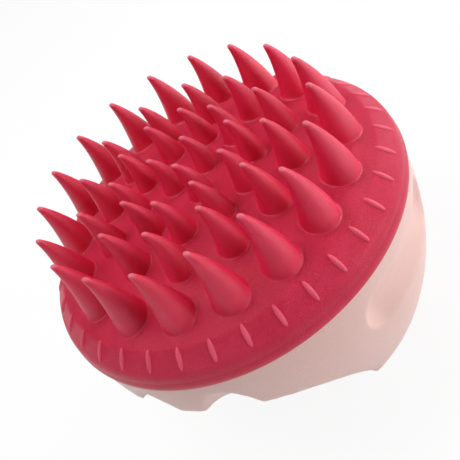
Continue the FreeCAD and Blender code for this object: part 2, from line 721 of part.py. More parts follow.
def battery_tray():
    block = box("tray_block", (d.tray_from, -d.tray_half, d.tray_low), (d.tray_to, d.tray_half, d.cell_height))
    ears = box("tray_ears", (d.tray_to, -d.ear_half, d.tray_low), (d.ear_to, d.ear_half, d.ear_top))
    reach = upright("tray_limit", d.tray_reach, 0, 0, d.tray_low, d.cell_height)
    trimmed = common("tray_trimmed", fuse("tray_whole", block, ears), reach)
    cutters = [scoop("tray_scoop", d.wall + d.tray_clearance)]
    for name, x in (("slot_one", d.cell_one_x), ("slot_two", d.cell_two_x)):
        cutters.append(crosswise(name, d.slot_radius, x, d.cell_height, -d.plate_outer, d.plate_outer))
    for name, low, high in (("back_pocket", -d.plate_outer, -(d.plate_inner - d.plate_play)),
                            ("front_pocket", d.plate_inner - d.plate_play, d.plate_outer)):
        reach_out = d.plate_half + d.plate_play
        cutters.append(box(name, (d.cell_one_x - reach_out, low, d.cell_height - reach_out),
                           (d.cell_two_x + reach_out, high, d.cell_height)))
    for number, sign in enumerate((-1, 1), start=1):
        y = sign * d.tray_post_y
        cutters.append(upright("ear_hole_{}".format(number), d.clear_hole, d.tray_post_x, y, d.tray_low, d.ear_top))
        cutters.append(upright("ear_head_room_{}".format(number), d.screw_head + d.clear_hole_play, d.tray_post_x, y,
                               d.ear_top, d.cell_height))
    return cut("battery_tray", trimmed, *cutters)


def contact_plate(name, from_x, to_x, sign):
    low, high = (d.plate_inner, d.plate_outer) if sign > 0 else (-d.plate_outer, -d.plate_inner)
    return box(name, (from_x - d.plate_half, low, d.cell_height - d.plate_half),
               (to_x + d.plate_half, high, d.cell_height + d.plate_half))


def contact_bump(name, x, sign):
    end = d.cell_length * 0.5
    low, high = (end, d.plate_inner) if sign > 0 else (-d.plate_inner, -end)
    return crosswise(name, d.bump_radius, x, d.cell_height, low, high)


def contact_spring(name, x, sign):
    """The cone that a pressed spring fills between its plate and the cell."""
    turn = FreeCAD.Rotation(FreeCAD.Vector(1, 0, 0), 90 * sign)
    length = d.plate_inner - d.cell_length * 0.5
    return taper(name, d.spring_radius, d.spring_tip, (x, sign * d.plate_inner, d.cell_height), length, turn)


def positive_contact():
    return fuse("positive_contact", contact_plate("positive_plate", d.cell_one_x, d.cell_one_x, -1),
                contact_bump("positive_bump", d.cell_one_x, -1))


def negative_contact():
    return fuse("negative_contact", contact_plate("negative_plate", d.cell_two_x, d.cell_two_x, -1),
                contact_spring("negative_spring", d.cell_two_x, -1))


def bridge_contact():
    return fuse("bridge_contact", contact_plate("bridge_plate", d.cell_one_x, d.cell_two_x, 1),
                contact_spring("bridge_spring", d.cell_one_x, 1), contact_bump("bridge_bump", d.cell_two_x, 1))


# Motor

def motor_can():
    can = crosswise("can_barrel", d.motor_radius, d.motor_x, d.motor_z, d.motor_back, d.motor_front)
    cap = crosswise("can_cap", d.cap_radius, d.motor_x, d.motor_z, d.cap_back, d.motor_back)
    bearing = crosswise("can_bearing", d.bearing_radius, d.motor_x, d.motor_z, d.motor_front, d.bearing_front)
    bore = crosswise("can_bore", d.motor_bore, d.motor_x, d.motor_z, d.bore_back, d.bearing_front)
    return cut("motor_can", fuse("can_solid", can, cap, bearing), bore)


def motor_shaft():
    return crosswise("motor_shaft", d.shaft_radius, d.motor_x, d.motor_z, d.shaft_back, d.shaft_front)


def eccentric_weight():
    """A half disc and hub on the shaft, hanging below it at rest."""
    disc = crosswise("weight_disc", d.weight_radius, d.motor_x, d.motor_z, d.weight_back, d.weight_front)
    upper = box("weight_upper", (d.motor_x - d.weight_radius, d.weight_back, d.motor_z),
                (d.motor_x + d.weight_radius, d.weight_front, d.motor_z + d.weight_radius))
    hub = crosswise("weight_hub_rod", d.weight_hub, d.motor_x, d.motor_z, d.weight_back, d.weight_front)
    bore = crosswise("weight_bore", d.shaft_radius, d.motor_x, d.motor_z, d.weight_back, d.weight_front)
    half = cut("weight_half", disc, upper)
    return cut("eccentric_weight", fuse("weight_solid", half, hub), bore)


def motor_bed(name):
    return crosswise(name, d.motor_radius + d.cradle_fit, d.motor_x, d.motor_z, d.motor_back, d.motor_front)


def strap_screw_places():
    middle = (d.strap_back + d.strap_front) * 0.5
    return ((d.motor_x - d.strap_screw_reach, middle), (d.motor_x + d.strap_screw_reach, middle))


def motor_cradle():
    """Saddle that stands on the floor of the finger side and takes the lower half of the motor."""
    block = box("cradle_block", (d.cradle_from, d.cradle_back, d.cradle_low),
                (d.cradle_to, d.cradle_front, d.motor_z))
    shelf = box("cradle_shelf", (d.cradle_to, d.strap_back, d.shelf_low), (d.shelf_to, d.strap_front, d.motor_z))
    hole_low = d.small_screw_tip - d.small_screw_tip_play
    holes = [upright("cradle_hole_{}".format(number), d.small_hole, x, y, hole_low, d.motor_z)
             for number, (x, y) in enumerate(strap_screw_places(), start=1)]
    solid = fuse("cradle_solid", block, shelf)
    cell_room = crosswise("cradle_cell_room", d.cell_radius + d.cell_gap, d.cell_one_x, d.cell_height,
                          d.cradle_back, d.cradle_front)
    return cut("motor_cradle", solid, motor_bed("cradle_bed"), scoop("cradle_floor", d.wall), cell_room, *holes)


def motor_strap():
    arch = crosswise("strap_arch", d.strap_outer, d.motor_x, d.motor_z, d.strap_back, d.strap_front)
    below = box("strap_below", (d.cradle_from, d.strap_back, d.cradle_low),
                (d.shelf_to, d.strap_front, d.motor_z))
    feet = box("strap_feet", (d.cradle_from, d.strap_back, d.motor_z), (d.shelf_to, d.strap_front, d.strap_seat))
    holes = [upright("strap_hole_{}".format(number), d.small_hole, x, y, d.motor_z, d.strap_seat)
             for number, (x, y) in enumerate(strap_screw_places(), start=1)]
    half = cut("strap_half", arch, below)
    return cut("motor_strap", fuse("strap_solid", half, feet), motor_bed("strap_bed"), *holes)


def strap_screws():
    return group("strap_screws", *[
        screw("strap_screw_{}".format(number), x, y, d.small_screw_tip, d.strap_seat, d.small_screw_radius,
              d.small_screw_head)
        for number, (x, y) in enumerate(strap_screw_places(), start=1)])


# Leads

def lead(name, points):
    """A wire along straight runs joined by tangent arcs, each as large as its two runs allow."""
    corners = [FreeCAD.Vector(*point) for point in points]
    edges = []
    start = corners[0]
    for before, corner, after in zip(corners, corners[1:], corners[2:]):
        back = before - corner
        ahead = after - corner
        leg = LEAD_BEND_SHARE * min(back.Length, ahead.Length)
        arc_start = corner + back.normalize() * leg
        arc_end = corner + ahead.normalize() * leg
        half_angle = back.getAngle(ahead) / 2
        radius = leg * math.tan(half_angle)
        centre = corner + (back + ahead).normalize() * (radius / math.sin(half_angle))
        arc_middle = centre + (corner - centre).normalize() * radius
        edges.append(Part.LineSegment(start, arc_start).toShape())
        edges.append(Part.Arc(arc_start, arc_middle, arc_end).toShape())
        start = arc_end
        print(name, "bend radius", round(radius, 2))
    edges.append(Part.LineSegment(start, corners[-1]).toShape())
    path = Part.Wire(edges)
    section = Part.Wire(Part.makeCircle(d.lead_radius.number, corners[0], corners[1] - corners[0]))
    item = doc.addObject("Part::Feature", name)
    item.Shape = path.makePipeShell([section], True, False)
    return item


def motor_leads():
    """From the back of the motor, past the end of the tray, to the board under it."""
    solder = d.board_high.number + d.lead_radius.number
    return lead("motor_leads", (
        (d.motor_x.number, d.cap_back.number, d.motor_z.number), (d.motor_x.number, -22.5, d.motor_z.number),
        (0.5, -27.0, 27.0), (7.0, -28.0, 21.5), (10.5, -28.5, 16.0), (11.0, -27.8, solder), (11.0, -13.0, solder)))


def battery_leads():
    """From the negative contact, past the end of the tray, to the board under it."""
    solder = d.board_high.number + d.lead_radius.number
    top = d.cell_height.number + d.plate_half.number
    return lead("battery_leads", (
        (d.cell_two_x.number, -d.plate_outer.number, top - 1.0), (d.cell_two_x.number, -27.4, top - 1.0),
        (18.0, -27.9, 17.5), (17.5, -27.6, solder), (17.5, -13.0, solder)))


def build():
    return [
        bristle_pad(), pad_carrier(), bayonet_ring(), head_seal(), body_shell(), power_button(), button_boot(),
        boot_retainer(), circuit_board(), tact_switch(), switch_plunger(),
        screw_pair("board_screws", d.board_post_x, d.board_post_y, d.board_post_foot, d.board_high),
        battery_tray(), cell("cell_one", d.cell_one_x, -1), cell("cell_two", d.cell_two_x, 1), positive_contact(),
        negative_contact(), bridge_contact(),
        screw_pair("tray_screws", d.tray_post_x, d.tray_post_y, d.tray_post_foot, d.ear_top),
        motor_can(), motor_shaft(), eccentric_weight(), motor_cradle(), motor_strap(), strap_screws(),
        motor_leads(), battery_leads(),
    ]


def check(nodes):
    for item in doc.Objects:
        if "Invalid" in item.State or "Error" in item.State:
            raise RuntimeError("{} failed: {}".format(item.Label, item.State))
    for node in nodes:
        if node.Shape.isNull() or not node.Shape.isValid():
            raise RuntimeError("{} has no valid shape".format(node.Label))
        solids = len(node.Shape.Solids)
        print("{:18s} solids {} volume {:.1f}".format(node.Label, solids, node.Shape.Volume))


def export(nodes):
    os.makedirs("parts", exist_ok=True)
    for node in nodes:
        node.Shape.exportStep(os.path.join("parts", node.Label + ".step"))


nodes = build()
doc.recompute()
check(nodes)
export(nodes)
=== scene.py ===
import json
import math

import bpy
from mathutils import Matrix, Vector


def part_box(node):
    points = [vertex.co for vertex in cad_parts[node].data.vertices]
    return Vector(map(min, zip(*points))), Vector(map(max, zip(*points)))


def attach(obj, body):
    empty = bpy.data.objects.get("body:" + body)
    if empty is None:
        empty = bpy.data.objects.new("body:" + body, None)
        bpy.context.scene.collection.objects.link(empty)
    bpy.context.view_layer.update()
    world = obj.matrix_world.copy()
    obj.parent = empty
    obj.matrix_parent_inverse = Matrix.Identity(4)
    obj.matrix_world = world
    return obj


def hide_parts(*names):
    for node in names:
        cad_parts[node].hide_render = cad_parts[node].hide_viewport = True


bl_info = {
    "name": "Scalp Brush",
    "version": (1, 0, 0),
    "blender": (4, 5, 0),
    "location": "3D View > Sidebar > Brush",
    "description": "Models the head and the shell of a scalp brush, finishes its fittings and sets the stage",
    "category": "Object",
}

MM = 0.001
FULL_TURN = 2 * math.pi

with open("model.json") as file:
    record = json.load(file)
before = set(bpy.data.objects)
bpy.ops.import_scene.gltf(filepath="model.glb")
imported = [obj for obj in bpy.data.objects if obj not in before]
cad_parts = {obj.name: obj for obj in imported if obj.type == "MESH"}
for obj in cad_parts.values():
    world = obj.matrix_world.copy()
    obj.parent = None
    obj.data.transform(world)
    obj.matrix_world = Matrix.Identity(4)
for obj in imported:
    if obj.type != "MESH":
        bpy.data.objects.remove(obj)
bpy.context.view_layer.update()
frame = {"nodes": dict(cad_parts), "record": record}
PAD_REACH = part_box("bristle_pad")[1].y
RIM_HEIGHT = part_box("body_shell")[1].z

# Bristle rings from the rim inwards: name, count, ring radius, root radius, first angle in degrees and
# height of the tips above the rim, in millimetres
BRISTLE_RINGS = (
    ("outer", 18, 32.65, 4.05, 0.0, 24.3),
    ("middle", 12, 22.5, 3.5, 0.0, 23.8),
    ("inner", 10, 14.1, 3.15, -13.0, 23.4),
    ("centre", 3, 4.9, 3.0, 30.0, 23.0),
)
# Corners of a bristle's round section, and the steps of its foot fillet and of its flank
BRISTLE_SIDES = 28
FOOT_STEPS = 4
FLANK_STEPS = 9
# How deep the lowest step of the fillet lies in the field
FOOT_OVERLAP = 0.03 * MM
# Start of the round tip under its top, in tip radii, and the angles of its steps in degrees
TIP_START = 0.8
TIP_ANGLES = (28, 50, 70, 84)
# Power of the height with which the hook sets in, so that only the tip turns
HOOK_POWER = 8

# Height of the tips over the rim in the middle of the head, and how much it grows with the radius
TIP_RISE = 22.8 * MM
TIP_GROWTH = 0.0415
# Depths under the tips between which their pale tint fades, and that tint, which is partly a paler nub and
# partly a painted highlight
TIP_FADE = (0.1 * MM, 0.9 * MM)
PALE_AND_HIGHLIGHT_TINT = (0.8, 0.35, 0.42)
# How far light spreads under the skin of the silicone, and how much of each colour does
GLOW_DEPTH = 1.5 * MM
GLOW_SPREAD = (1.0, 0.12, 0.14)
# Fineness of the grain on the bristles and on the other mouldings
SKIN_SCALE = 4400
GRAIN_SCALE = 4500

# Finger flutes, how far inside the rim their cutters start, and the length of a cutter
FLUTES = 6
FLUTE_INSET = 2.5 * MM
FLUTE_REACH = 25 * MM
# Spare height of the turned dome for its softening, and how far a cutter passes the face that it cuts
DOME_SPARE = 3 * MM
CUT_SPARE = 1 * MM
# Screw posts in the shell on both sides: place, distance from the middle, foot and top, in millimetres
POSTS = ((6.5, 12.5, 1.3, 10.0), (28.3, 12.0, 6.0, 13.6))
POST_HOLE_DEPTH = 6 * MM

# Lamps: name, azimuth and elevation in degrees, and width in metres
LAMPS = (
    ("back", 140, 66, 0.42),
    ("side", -35, 12, 0.36),
    ("rim", 12, 8, 0.36),
    ("top", 40, 45, 0.3),
    ("left", 215, 32, 0.36),
)
# Width of the floor in metres, width of the camera's sensor in millimetres, and where its view starts
FLOOR_WIDTH = 6
SENSOR_WIDTH = 36
NEAR_CLIP = 10 * MM


def length(name, description, millimetres):
    """A length of the object as a property in metres."""
    return bpy.props.FloatProperty(
        name=name, description=description, default=millimetres * MM,
        subtype="DISTANCE", unit="LENGTH", precision=5)


def angle(name, description, degrees):
    return bpy.props.FloatProperty(
        name=name, description=description, default=math.radians(degrees), subtype="ANGLE", unit="ROTATION")


def colour(name, description, red, green, blue):
    """A surface colour as a property, given as the eight-bit values of the screen."""
    linear = [((part / 255 + 0.055) / 1.055) ** 2.4 for part in (red, green, blue)]
    return bpy.props.FloatVectorProperty(
        name=name, description=description, default=linear, size=3, min=0, max=1, subtype="COLOR")


def share(name, description, number):
    return bpy.props.FloatProperty(
        name=name, description=description, default=number, min=0, max=1, subtype="FACTOR")


def watts(name, description, number):
    return bpy.props.FloatProperty(name=name, description=description, default=number, min=0, unit="POWER")


class BrushPadSizes(bpy.types.PropertyGroup):
    """The soft disc under the bristles and the ribs round its band."""

    edge: length("Lower edge", "Radius of the pad where it meets the shell", 43.0)
    edge_round: length("Edge rounding", "Width of the rounding at the lower edge", 0.12)
    widest: length("Widest radius", "Radius of the lip round the pad", PAD_REACH / MM)
    widest_rise: length("Lip height", "Height of the widest place above the rim", 1.3)
    under_bulge: length("Lip underside", "Bulge of the lip past its chord under the widest place", 0.05)
    over_bulge: length("Lip upper side", "Bulge of the lip past its chord over the widest place", 0.04)
    seam: length("Seam radius", "Radius of the faint crease between the lip and the wall", 43.0)
    seam_rise: length("Seam height", "Height of that crease above the rim", 2.5)
    seam_round: length("Seam rounding", "Width of the rounding in that crease", 0.1)
    wall_bulge: length("Wall bulge", "How far the wall over the crease bulges past its chord", 0.03)
    shoulder: length("Shoulder radius", "Radius where the wall turns into the shoulder", 42.9)
    shoulder_rise: length("Shoulder height", "Height of that turn above the rim", 3.6)
    shoulder_bulge: length("Shoulder bulge", "How far the shoulder bulges past its chord", 0.17)
    band_low: length("Band foot", "Radius at the foot of the sloping band", 41.85)
    band_low_rise: length("Band foot height", "Height of the foot of the band above the rim", 5.25)
    band_low_round: length("Band foot rounding", "Width of the rounding at the foot of the band", 0.2)
    band_top: length("Band top", "Radius at the top of the sloping band", 39.15)
    band_top_rise: length("Band top height", "Height of the top of the band above the rim", 8.0)
    band_top_round: length("Band top rounding", "Width of the rounding at the top of the band", 0.45)
    crown: length("Crown", "How far the domed field rises over the top of the band", 5.4)
    inner: length("Inner radius", "Radius of the carrier under the pad", 39.7)
    ceiling: length("Ceiling", "Height of the underside above the rim", 3.15)
    gap: length("Parting gap", "Gap between the pad and the shell", 0.05)
    rib_length: length("Rib length", "Half length of the rib's ellipsoid", 2.4)
    rib_width: length("Rib width", "Half width of the rib's ellipsoid", 0.62)
    rib_height: length("Rib height", "Half height of the rib's ellipsoid", 0.62)
    rib_sink: length("Rib sink", "Depth of the ellipsoid's middle under the band", 0.2)
    ribs: bpy.props.IntProperty(name="Ribs", description="Number of ribs round the band", default=36, min=3)


class BrushBristleSizes(bpy.types.PropertyGroup):
    """The claw shape that all bristles share."""

    tip: length("Tip radius", "Radius of the blunt tip", 0.5)
    lean: length("Lean", "How far the tip leans towards the finger side", 1.0)
    hook: length("Hook", "How far the last of the tip turns on towards the finger side", 0.3)
    bow: length("Bow", "How far the middle bows towards the palm side", 0.5)
    belly: length("Belly", "How far the flanks swell past a straight cone", 0.1)
    foot: length("Foot fillet", "Radius of the fillet where a bristle meets the field", 0.4)
    sink: length("Sink", "How deep the root reaches under the field", 1.4)


class BrushShellSizes(bpy.types.PropertyGroup):
    """The hand-shaped shell: dome, finger scoop, finger flutes and thumb recesses."""

    rim: length("Rim radius", "Radius of the shell at its rim", 42.5)
    heel: length("Heel radius", "Radius where the dome turns into the back", 35.2)
    heel_height: length("Heel height", "Height of that turn above the back", 6.0)
    base: length("Back radius", "Radius of the flat back", 26.0)
    dome_bulge: length("Dome bulge", "How far the dome bulges past its chord", 2.3)
    heel_bulge: length("Heel bulge", "How far the heel bulges past its chord", 0.35)
    scoop_arc: length("Scoop radius", "Radius of the hollow under the fingers", 30.9)
    scoop_sweep: length("Scoop sweep", "Radius of the bend that the hollow follows", 90.8)
    scoop_centre: length("Scoop centre", "Place of the centre of that bend", 59.5)
    scoop_drop: length("Scoop drop", "Depth of the hollow's centre line under the back", 3.5)
    flute: length("Flute radius", "Radius of a finger flute", 7.8)
    flute_top: length("Flute top", "Depth of a flute's upper ridge under the rim", 3.5)
    flute_tilt: angle("Flute tilt", "Slope of a flute", 60.0)
    flute_pitch: angle("Flute pitch", "Angle between two flutes", 25.25)
    thumb: length("Thumb radius", "Section radius of a thumb recess", 7.0)
    thumb_reach: length("Thumb reach", "Distance of a thumb recess's centre line from the axis", 46.6)
    thumb_drop: length("Thumb drop", "Depth of that centre line under the rim", 10.0)
    thumb_from: angle("Thumb start", "Angle at which a thumb recess starts", 30.0)
    thumb_span: angle("Thumb span", "Angle that a thumb recess covers", 36.0)
    wall: length("Wall", "Thickness of the wall", 2.6)
    cavity: length("Cavity radius", "Radius of the room inside", 35.0)
    cavity_corner: length("Cavity corner", "Radius of the room's lower corner", 10.0)
    socket: length("Socket radius", "Radius of the socket for the bayonet ring", 36.5)
    socket_depth: length("Socket depth", "Depth of that socket", 6.5)
    button_place: length("Button place", "Distance of the button from the axis", 14.0)
    button_hole: length("Button hole", "Radius of the hole for the button", 7.15)
    dish: length("Dish radius", "Outer radius of the dish round the button", 9.6)
    dish_floor: length("Dish floor", "Inner radius of that dish", 8.0)
    dish_depth: length("Dish depth", "Depth of that dish", 0.8)
    post: length("Post radius", "Radius of a screw post", 2.6)
    post_hole: length("Post hole", "Radius of the hole in a screw post", 1.05)
    seal: length("Seal radius", "Middle radius of the groove for the seal", 38.8)
    seal_half: length("Seal half width", "Half the width of that groove", 0.75)
    seal_depth: length("Seal depth", "Depth of that groove", 1.1)
    voxel: length("Softening grid", "Grid on which the moulded edges are softened", 0.5)


class BrushFinishes(bpy.types.PropertyGroup):
    """Colours of the moulded and metal parts."""

    pad: colour("Bristles", "Silicone of the bristles", 222, 28, 74)
    pad_deep: colour("Silicone, deep", "Deeper tone in the silicone", 202, 6, 46)
    # The field's tone is paler than the bristles'; part of that is painted light, making up for the shade the
    # bristles cast on the field
    field: colour("Field", "Frosted silicone of the field and the band", 224, 46, 86)
    # The ribs' tone is paler than the band's; part of that is painted light, standing in for the light their
    # flanks catch
    rib: colour("Ribs", "Smooth silicone of the ribs", 232, 74, 104)
    shell: colour("Shell", "Blush plastic of the shell", 231, 194, 187)
    shell_warm: colour("Shell, warm", "Warmer tone in the blush plastic", 228, 182, 174)
    carrier: colour("Carrier", "Plastic under the pad", 150, 30, 55)
    inner: colour("Inner plastic", "Plain plastic of the inner fittings", 222, 216, 208)
    rubber: colour("Rubber", "Seal and boot", 70, 70, 74)
    button: colour("Button", "Push button in the back", 204, 78, 98)
    laminate: colour("Board", "Lacquered board", 24, 98, 56)
    black: colour("Switch", "Black moulded plastic", 26, 26, 28)
    steel: colour("Steel", "Plated steel", 198, 196, 190)
    brass: colour("Brass", "Weight on the motor shaft", 196, 160, 96)
    sleeve: colour("Cell sleeve", "Sleeve of the cells", 60, 72, 92)
    lead: colour("Lead", "Insulation of the leads", 178, 34, 34)


class BrushStage(bpy.types.PropertyGroup):
    """Camera, floor and lamps."""

    azimuth: angle("Azimuth", "Direction of the camera round the brush", 3.65)
    elevation: angle("Elevation", "Height of the camera over the horizon", 37.92)
    roll: angle("Roll", "Turn of the camera about its line of sight", 37.54)
    distance: length("Distance", "Distance of the camera from the middle of the parting", 164.42)
    lens: bpy.props.FloatProperty(
        name="Lens", description="Focal length", default=56.49, subtype="DISTANCE_CAMERA", unit="CAMERA")
    shift_x: bpy.props.FloatProperty(
        name="Shift X", description="Sideways shift of the frame", default=0.0123)
    shift_y: bpy.props.FloatProperty(
        name="Shift Y", description="Upward shift of the frame", default=-0.0226)
    floor: colour("Floor", "Plain pale floor", 246, 246, 246)
    glow: share("Floor glow", "Share of the floor's look that ignores the lamps", 0.9)
    sky: bpy.props.FloatProperty(name="Sky", description="Strength of the even light", default=0.04, min=0)
    back: watts("Back lamp", "Power of the high lamp behind the finger side", 1.9)
    side: watts("Side lamp", "Power of the low lamp at the near palm side", 1.4)
    rim: watts("Rim lamp", "Power of the low lamp at the far palm side", 1.25)
    top: watts("Top lamp", "Power of the high lamp behind the palm side", 0.8)
    left: watts("Left lamp", "Power of the weak lamp at the finger side", 0.5)
    lamp_distance: length("Lamp distance", "Distance of the lamps from the middle of the parting", 500.0)


# Shaders

class Value:
    """A socket in a material; arithmetic on it adds Math nodes."""

    def __init__(self, finish, socket):
        self.finish = finish
        self.socket = socket

    def join(self, operation, first, second):
        return self.finish.node("ShaderNodeMath", {"operation": operation}, {0: first, 1: second})

    def __add__(self, other):
        return self.join("ADD", self, other)

    def __radd__(self, other):
        return self.join("ADD", other, self)

    def __sub__(self, other):
        return self.join("SUBTRACT", self, other)

    def __rsub__(self, other):
        return self.join("SUBTRACT", other, self)

    def __mul__(self, other):
        return self.join("MULTIPLY", self, other)

    def __rmul__(self, other):
        return self.join("MULTIPLY", other, self)


class Finish:
    """A material with one Principled shader and the nodes that feed it."""

    def __init__(self, name):
        self.material = bpy.data.materials.new(name)
        self.material.use_nodes = True
        self.tree = self.material.node_tree
        self.shader = self.tree.nodes["Principled BSDF"]
        self.place = self.node("ShaderNodeTexCoord", {}, {}, "Object")

    def node(self, kind, settings, values, output=0):
        """Adds a node, sets it, then fills or links its sockets, and returns one of its outputs."""
        node = self.tree.nodes.new(kind)
        for name, setting in settings.items():
            setattr(node, name, setting)
        for name, value in values.items():
            self.feed(node.inputs[name], value)
        return Value(self, node.outputs[output])

    def feed(self, socket, value):
        if isinstance(value, Value):
            self.tree.links.new(value.socket, socket)
        elif hasattr(value, "__len__") and socket.type == "RGBA" and len(value) == 3:
            socket.default_value = (*value, 1)
        else:
            socket.default_value = value

    def set(self, **values):
        """Fills or links sockets of the shader, with underscores for the spaces in their names."""
        for name, value in values.items():
            self.feed(self.shader.inputs[name.replace("_", " ")], value)

    def noise(self, scale, detail=2.0, roughness=0.5, where=None):
        values = {"Vector": where or self.place, "Scale": scale, "Detail": detail, "Roughness": roughness}
        return self.node("ShaderNodeTexNoise", {}, values)

    def grain(self, scale):
        """The fine, sharp grain of an eroded mould."""
        return self.noise(scale, detail=2.0, roughness=0.7)

    def mix(self, factor, first, second):
        """Mixes two colours; the node's sockets 6 and 7 and its output 2 are those for colours."""
        values = {"Factor": factor, 6: first, 7: second}
        return self.node("ShaderNodeMix", {"data_type": "RGBA"}, values, 2)

    def band(self, value, low, high):
        """0 below low, 1 above high, smooth between."""
        settings = {"interpolation_type": "SMOOTHSTEP"}
        values = {"Value": value, "From Min": low, "From Max": high}
        return self.node("ShaderNodeMapRange", settings, values)

    def bump(self, height, strength, distance):
        values = {"Height": height, "Strength": strength, "Distance": distance}
        self.set(Normal=self.node("ShaderNodeBump", {}, values))

    def coordinate(self, axis):
        return self.node("ShaderNodeSeparateXYZ", {}, {0: self.place}, axis)

    def under_skin(self, weight):
        """Light that enters the silicone and comes out again near by."""
        self.set(Subsurface_Weight=weight, Subsurface_Radius=GLOW_SPREAD, Subsurface_Scale=GLOW_DEPTH)


def silicone(name, tone, deep):
    """Satin silicone of the bristles: a soft glow under the skin, faint mottling and paler blunt tips, partly
    a painted highlight.
    """
    finish = Finish(name)
    mottle = finish.band(finish.noise(260, detail=3.0), 0.35, 0.7)
    flat = finish.node("ShaderNodeVectorMath", {"operation": "MULTIPLY"}, {0: finish.place, 1: (1, 1, 0)})
    out = finish.node("ShaderNodeVectorMath", {"operation": "LENGTH"}, {0: flat}, "Value")
    # The tips fade towards a pale tint: partly a paler nub, partly a painted highlight
    below_tip = RIM_HEIGHT + TIP_RISE + out * TIP_GROWTH - finish.coordinate("Z")
    tip = 1 - finish.band(below_tip, *TIP_FADE)
    skin = finish.grain(SKIN_SCALE)
    body = finish.mix(mottle * 0.35, tone, deep)
    # The pale specks in the skin's grain are partly grain and partly painted glints
    pale = finish.band(skin, 0.58, 0.7) * 0.1 + tip * 0.3
    finish.set(
        Base_Color=finish.mix(pale, body, PALE_AND_HIGHLIGHT_TINT), Roughness=0.26 + skin * 0.26,
        IOR=1.5, Specular_IOR_Level=0.62)
    finish.under_skin(0.1)
    finish.bump(skin, 1.0, 0.13 * MM)
    return finish.material


def frosted(name, tone, deep):
    """Frosted silicone of the field and the band: a fine eroded grain under a thin, soft gloss."""
    finish = Finish(name)
    mottle = finish.band(finish.noise(220, detail=4.0), 0.3, 0.75)
    grain = finish.grain(GRAIN_SCALE)
    pits = finish.band(grain, 0.35, 0.65)
    finish.set(
        Base_Color=finish.mix(mottle * 0.25 + pits * 0.5, tone, deep), Roughness=0.28 + grain * 0.12,
        IOR=1.41, Specular_IOR_Level=0.3, Coat_Weight=0.1, Coat_Roughness=0.3)
    finish.under_skin(0.08)
    finish.bump(grain, 1.0, 0.4 * MM)
    return finish.material


def grained_plastic(name, tone, second, grain=1.0, roughness=0.36):
    """Moulded plastic with a fine eroded grain and a slow drift of tone."""
    finish = Finish(name)
    drift = finish.band(finish.noise(45), 0.3, 0.75)
    speckle = finish.grain(GRAIN_SCALE)
    finish.set(
        Base_Color=finish.mix(drift * 0.35 + speckle * 0.2, tone, second),
        Roughness=roughness - 0.08 + speckle * 0.16, IOR=1.49, Specular_IOR_Level=0.55)
    finish.bump(speckle, grain, 0.16 * MM)
    return finish.material


def plated_metal(name, tone, stretch, roughness=0.28):
    """Plated metal with fine drawn streaks along one way."""
    finish = Finish(name)
    where = finish.node("ShaderNodeMapping", {}, {"Vector": finish.place, "Scale": stretch})
    streak = finish.noise(2400, detail=3.0, roughness=0.6, where=where)
    dull = [part * 0.8 for part in tone]
    finish.set(
        Base_Color=finish.mix(streak * 0.5, tone, dull), Metallic=1.0,
        Roughness=roughness + streak * 0.2)
    finish.bump(streak, 0.1, 0.05 * MM)
    return finish.material


def soft_rubber(name, tone):
    """Dull rubber with a pale bloom in patches."""
    finish = Finish(name)
    bloom = finish.band(finish.noise(500, detail=4.0), 0.45, 0.8)
    pale = [part * 1.6 + 0.02 for part in tone]
    finish.set(Base_Color=finish.mix(bloom * 0.5, tone, pale), Roughness=0.6 + bloom * 0.2)
    finish.bump(finish.noise(3000), 0.15, 0.08 * MM)
    return finish.material


def lacquered_board(name, tone):
    """Green lacquer over copper tracks that show as paler lines."""
    finish = Finish(name)
    settings = {"wave_type": "BANDS", "bands_direction": "DIAGONAL"}
    values = {"Vector": finish.place, "Scale": 160.0, "Distortion": 6.0, "Detail": 1.0}
    lines = finish.node("ShaderNodeTexWave", settings, values, "Fac")
    track = finish.band(lines, 0.6, 0.7)
    pale = [part * 1.9 for part in tone]
    finish.set(Base_Color=finish.mix(track * 0.6, tone, pale), Roughness=0.35 - track * 0.1)
    finish.bump(track, 0.2, 0.05 * MM)
    return finish.material


def printed_sleeve(name, tone):
    """Shrunk sleeve with a pale band at one end of the cell."""
    finish = Finish(name)
    band = finish.band(finish.coordinate("Y"), 12 * MM, 12.4 * MM)
    wrinkle = finish.noise(180, detail=3.0)
    pale = [0.5 + part * 0.3 for part in tone]
    finish.set(Base_Color=finish.mix(band, tone, pale), Roughness=0.25 + wrinkle * 0.2)
    finish.bump(wrinkle, 0.1, 0.2 * MM)
    return finish.material


# Modelling by hand

def start_fresh():
    if bpy.context.mode != "OBJECT":
        bpy.ops.object.mode_set(mode="OBJECT")
    bpy.ops.object.select_all(action="DESELECT")


def take(piece):
    """Makes a piece the only one selected and the active one."""
    start_fresh()
    piece.select_set(True)
    bpy.context.view_layer.objects.active = piece


def settle():
    """Puts the place, turn and scale of the active piece into its mesh."""
    bpy.ops.object.transform_apply(location=True, rotation=True, scale=True)
    return bpy.context.object


def edit():
    bpy.ops.object.mode_set(mode="EDIT")
    bpy.ops.mesh.select_all(action="SELECT")


def leave_edit():
    bpy.ops.object.mode_set(mode="OBJECT")
    return bpy.context.object


def close_up():
    """Turns all faces of the mesh in edit mode outwards and leaves it."""
    bpy.ops.mesh.select_all(action="SELECT")
    bpy.ops.mesh.normals_make_consistent(inside=False)
    return leave_edit()


def outward(turn, rise=0.0):
    """The way out from the axis at an angle round it and an angle over the horizon."""
    level = math.cos(rise)
    return Vector((math.cos(turn) * level, math.sin(turn) * level, math.sin(rise)))


def arc(start, end, bulge, count):
    """Points after start, up to end, on the arc that bulges to the right of the way there."""
    start = Vector(start)
    end = Vector(end)
    half = (end - start) / 2
    radius = half.length_squared / (2 * bulge) + bulge / 2
    left = Vector((-half.y, half.x)).normalized()
    centre = start + half + left * (radius - bulge)
    first = start - centre
    turn = 2 * math.asin(half.length / radius)
    return [centre + Matrix.Rotation(turn * step / count, 2) @ first for step in range(1, count + 1)]


